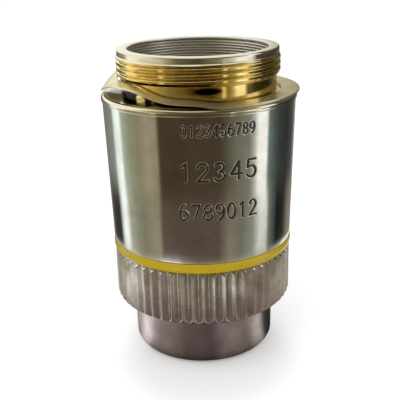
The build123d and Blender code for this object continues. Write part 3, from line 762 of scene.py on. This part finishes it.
def makeSleeve():
    s = sleeve
    meanRadius = (s["footRadius"] + s["topRadius"]) / 2
    wallZ = np.concatenate((s["bottom"] + np.array(s["footRows"]),
                            np.arange(*s["fineHeights"], s["fineStep"]), s["top"] - np.array(s["topRows"])))
    wallShare = (wallZ - s["bottom"]) / (s["top"] - s["bottom"])
    wallR = s["footRadius"] + (s["topRadius"] - s["footRadius"]) * wallShare
    corners = [(s["tubeBore"], s["spigotBottom"]), (s["spigotRadius"], s["spigotBottom"], 0.1),
               (s["spigotRadius"], s["bottom"]), (s["footRadius"], s["bottom"], 0.12)]
    corners += list(zip(wallR, wallZ))
    corners += [(s["topRadius"], s["top"], 0.1), (s["bore"], s["top"]), (s["bore"], s["guideTop"]),
                (s["tubeBore"], s["guideTop"])]
    outline = roundedProfile(corners, 4)
    # columns: fine across the figures, wider round the rest
    fineFrom, fineTo = s["fineAngles"]
    fine = np.arange(fineFrom, fineTo, math.degrees(s["fineStep"] / meanRadius))
    wide = np.linspace(fineTo, fineFrom + 360, s["wideColumns"])[:-1]
    around = np.radians(np.concatenate((fine, wide)) - 90)
    points = turnedPoints(outline, around)
    # place on the unrolled wall: along the turn from the front, and up
    along, up = np.broadcast_arrays((around[:, None] + math.pi / 2) * meanRadius, outline[None, :, 1])
    nearest = np.full(along.shape, 9.0)
    for text, foot, high, advance, firstAngle, width in s["lines"]:
        rows = np.nonzero((outline[:, 1] > foot - 0.4) & (outline[:, 1] < foot + high + 0.4)
                          & (outline[:, 0] > s["footRadius"] - 0.1))[0]
        narrowed = min(1.0, advance / high / s["figureShare"])
        for i, figure in enumerate(text):
            left = math.radians(firstAngle) * meanRadius + i * advance
            columns = np.nonzero((along[:, 0] > left - 0.5) & (along[:, 0] < left + 0.6 * high + 0.5))[0]
            block = np.ix_(columns, rows)
            strokes = [stroke * high * np.array([narrowed, 1.0]) + (left, foot)
                       for stroke in figureStrokes(figure)]
            share = strokeDistance(along[block], up[block], strokes) / (width / 2)
            nearest[block] = np.minimum(nearest[block], share)
    # a V groove: deepest on the stroke, nothing beyond half its width
    cut = np.clip(1 - nearest, 0, 1)
    scale = 1 - s["strokeDepth"] * smoothStep(0, 0.8, cut) / meanRadius
    points[..., 0] *= scale
    points[..., 1] *= scale
    piece = gridPiece("outer_tube", points, sharpAngle=50)
    layer = piece.data.attributes.new("engraved", "FLOAT", "POINT")
    layer.data.foreach_set("value", smoothStep(0.1, 0.55, cut).ravel())
    return finishPiece(piece, sleevePlate, "sleeve_chrome", "outer_sleeve")


makeSleeve()
print("sleeve turned and engraved")


# Yellow band

band = {"bottom": 13.97, "top": 15.13, "inner": 10.64, "radius": 11.7, "crown": 0.12}


def makeBand():
    # the outside is a shallow arc: radius less crown times the square of the share from the middle
    b = band
    share = np.linspace(-1, 1, 13)
    middle, half = (b["bottom"] + b["top"]) / 2, (b["top"] - b["bottom"]) / 2
    face = np.stack((b["radius"] - b["crown"] * share ** 2, middle + share * half), axis=-1)
    corners = [(b["inner"], b["bottom"]), (*face[0], 0.05)] + [tuple(p) for p in face[1:-1]]
    corners += [(*face[-1], 0.05), (b["inner"], b["top"])]
    outline = roundedProfile(corners, 4)
    return finishPiece(gridPiece("enamel_band", turnedPoints(outline, fullTurn(256))),
                       bandEnamel, "band_enamel", "colour_band")


makeBand()
print("band enamelled")


# Knurled grip

grip = {
    "bottom": 6.9, "top": 13.95, "radius": 11.6, "depth": 0.6, "teeth": 54,
    "collarBore": 10.39, "slideBore": 10.64, "tubeBore": 9.22, "ledgeBottom": 8.32, "ledgeTop": 9.52,
    "topBevel": 0.65, "footBevel": 0.5, "tipRounding": 0.05,
    # rows over the foot's bevel, along the teeth and over the top's bevel: how far in from the edges
    # they reach, and how many there are
    "footRows": (0.45, 9), "toothRows": (0.8, 0.9, 8), "topRows": (0.62, 14), "columnsPerTooth": 20,
}


def makeGrip():
    g = grip
    footEnd, footCount = g["footRows"]
    toothFoot, toothTop, toothCount = g["toothRows"]
    topStart, topCount = g["topRows"]
    sideZ = np.concatenate((np.linspace(g["bottom"], g["bottom"] + footEnd, footCount),
                            np.linspace(g["bottom"] + toothFoot, g["top"] - toothTop, toothCount),
                            np.linspace(g["top"] - topStart, g["top"], topCount)))
    corners = [(g["collarBore"], g["bottom"])] + [(g["radius"], z) for z in sideZ]
    corners += [(g["slideBore"], g["top"]), (g["slideBore"], g["ledgeTop"]), (g["tubeBore"], g["ledgeTop"]),
                (g["tubeBore"], g["ledgeBottom"]), (g["collarBore"], g["ledgeBottom"])]
    outline = roundedProfile(corners)
    radius, height = outline[None, :, 0], outline[None, :, 1]
    angle = fullTurn(g["teeth"] * g["columnsPerTooth"])[:, None]
    # tooth: distance along the rim from the middle of the nearest groove; the flank rises from the
    # root at 45 degrees to the flat of the tooth, and both bends are softened
    fromGroove = np.abs((angle * g["teeth"] / turn + 0.5) % 1.0 - 0.5) * turn * g["radius"] / g["teeth"]
    soft = g["tipRounding"]
    rise = np.hypot(fromGroove, soft) - soft
    capped = 0.5 * (rise + g["depth"] - np.hypot(rise - g["depth"], soft))
    tooth = g["radius"] - g["depth"] + capped
    topLimit = g["radius"] - g["topBevel"] + (g["top"] - height)
    footLimit = g["radius"] - g["footBevel"] + (height - g["bottom"])
    cut = np.minimum(tooth, np.minimum(topLimit, footLimit))
    newRadius = np.where(np.abs(radius - g["radius"]) < onFace, cut, radius)
    return finishPiece(gridPiece("knurled_grip", ringPoints(newRadius, height, angle), sharpAngle=32),
                       gripPlate, "grip_chrome", "grip_ring")


makeGrip()
print("grip knurled")


# Lens barrel with the nose

barrel = {
    "seatRadius": 7.2, "tipRadius": 9.2, "noseTop": 9.35, "rounding": 1.2, "nose": 6.9, "collar": 10.37,
    "collarTop": 8.3, "tube": 9.2, "top": 31.81, "bore": 7.0, "ledgeTop": 5.8, "ledgeBottom": 5.0,
    "ledgeRadius": 5.6, "frontThread": 6.2, "seatDepth": 1.25,
    # first and last row on the nose's wall, and how many there are
    "wallRows": (1.5, 6.6, 12),
}


def makeBarrel():
    b = barrel
    wallZ = np.linspace(*b["wallRows"])
    wallR = b["tipRadius"] + (b["noseTop"] - b["tipRadius"]) * wallZ / b["nose"]
    corners = [(b["seatRadius"], 0.0, 0.08), (b["tipRadius"], 0.0, b["rounding"])]
    corners += list(zip(wallR, wallZ))
    corners += [(b["noseTop"], b["nose"]), (b["collar"], b["nose"], 0.08),
                (b["collar"], b["collarTop"], 0.08), (b["tube"], b["collarTop"]),
                (b["tube"], b["top"], 0.15), (b["bore"], b["top"], 0.06),
                (b["bore"], b["ledgeTop"]), (b["ledgeRadius"], b["ledgeTop"]),
                (b["ledgeRadius"], b["ledgeBottom"]), (b["frontThread"], b["ledgeBottom"]),
                (b["frontThread"], b["seatDepth"]), (b["seatRadius"], b["seatDepth"])]
    outline = roundedProfile(corners, 10)
    return finishPiece(gridPiece("nose_and_tube", turnedPoints(outline, fullTurn(256))),
                       nosePlate, "nose_chrome", "lens_barrel")


makeBarrel()
print("barrel turned")


# Pieces seen down the bore and in the nose

inside = {
    "baffle": {"bottom": 32.05, "outer": 8.73, "inner": 6.6, "height": 1.6, "lip": 0.3},
    "frontLens": {"seat": 1.82, "radius": 4.6, "lower": -14.0, "upper": -7.5, "edge": 1.2},
    "rearFlint": {"radius": 5.5, "lower": -10.0, "upper": -40.0, "thickness": 1.2},
}


def sag(curve, radius):
    # how far a sphere of that signed radius has risen at a distance from its vertex
    return curve - np.copysign(np.sqrt(curve ** 2 - radius ** 2), curve)


def makeLens(name, node, rim, vertex, top, lower, upper):
    # from the axis out along the lower sphere, up the edge, and back along the upper sphere
    share = np.linspace(0, 1, 24) * rim
    below = np.stack((share, vertex + sag(lower, share)), axis=-1)
    over = np.stack((share[::-1], top + sag(upper, share[::-1])), axis=-1)
    outline = np.vstack((below, over))
    piece = gridPiece(name, turnedPoints(outline, fullTurn(128)), True, False, weld=True)
    return finishPiece(piece, opticalGlass, "optical_glass", node)


def makeInside():
    b = inside["baffle"]
    top = b["bottom"] + b["height"]
    corners = [(b["inner"] + b["lip"], b["bottom"]), (b["outer"], b["bottom"]), (b["outer"], top, 0.08),
               (b["inner"], top, 0.06), (b["inner"], top - b["lip"])]
    outline = roundedProfile(corners, 4)
    finishPiece(gridPiece("bore_baffle", turnedPoints(outline, fullTurn(160))),
                blackBrass, "black_brass", "baffle_ring")
    f = inside["frontLens"]
    vertex = f["seat"] - sag(f["lower"], f["radius"])
    thickness = f["edge"] + sag(f["lower"], f["radius"]) - sag(f["upper"], f["radius"])
    makeLens("front_glass", "front_lens", f["radius"], vertex, vertex + thickness, f["lower"], f["upper"])
    r = inside["rearFlint"]
    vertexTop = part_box("rear_flint")[1].z / mm
    makeLens("rear_glass", "rear_flint", r["radius"], vertexTop - r["thickness"], vertexTop,
             r["lower"], r["upper"])


makeInside()

# the nodes that keep their own solid get a finish of the same kind
keptNodes = {
    "parfocal_shim": innerBrass, "lock_ring": innerBrass, "centring_screws": screwSteel,
    "front_cell": blackBrass, "front_spacer": blackBrass, "middle_cell": blackBrass,
    "middle_crown": opticalGlass, "middle_flint": opticalGlass, "long_spacer": blackBrass,
    "rear_cell": blackBrass, "rear_crown": opticalGlass, "aperture_stop": blackBrass,
    "retaining_ring": blackBrass,
}
for nodeName, nodeMaterial in keptNodes.items():
    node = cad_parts[nodeName]
    if not node.material_slots:
        node.data.materials.append(nodeMaterial)
    for materialSlot in node.material_slots:
        materialSlot.material = nodeMaterial
print("inner pieces finished")
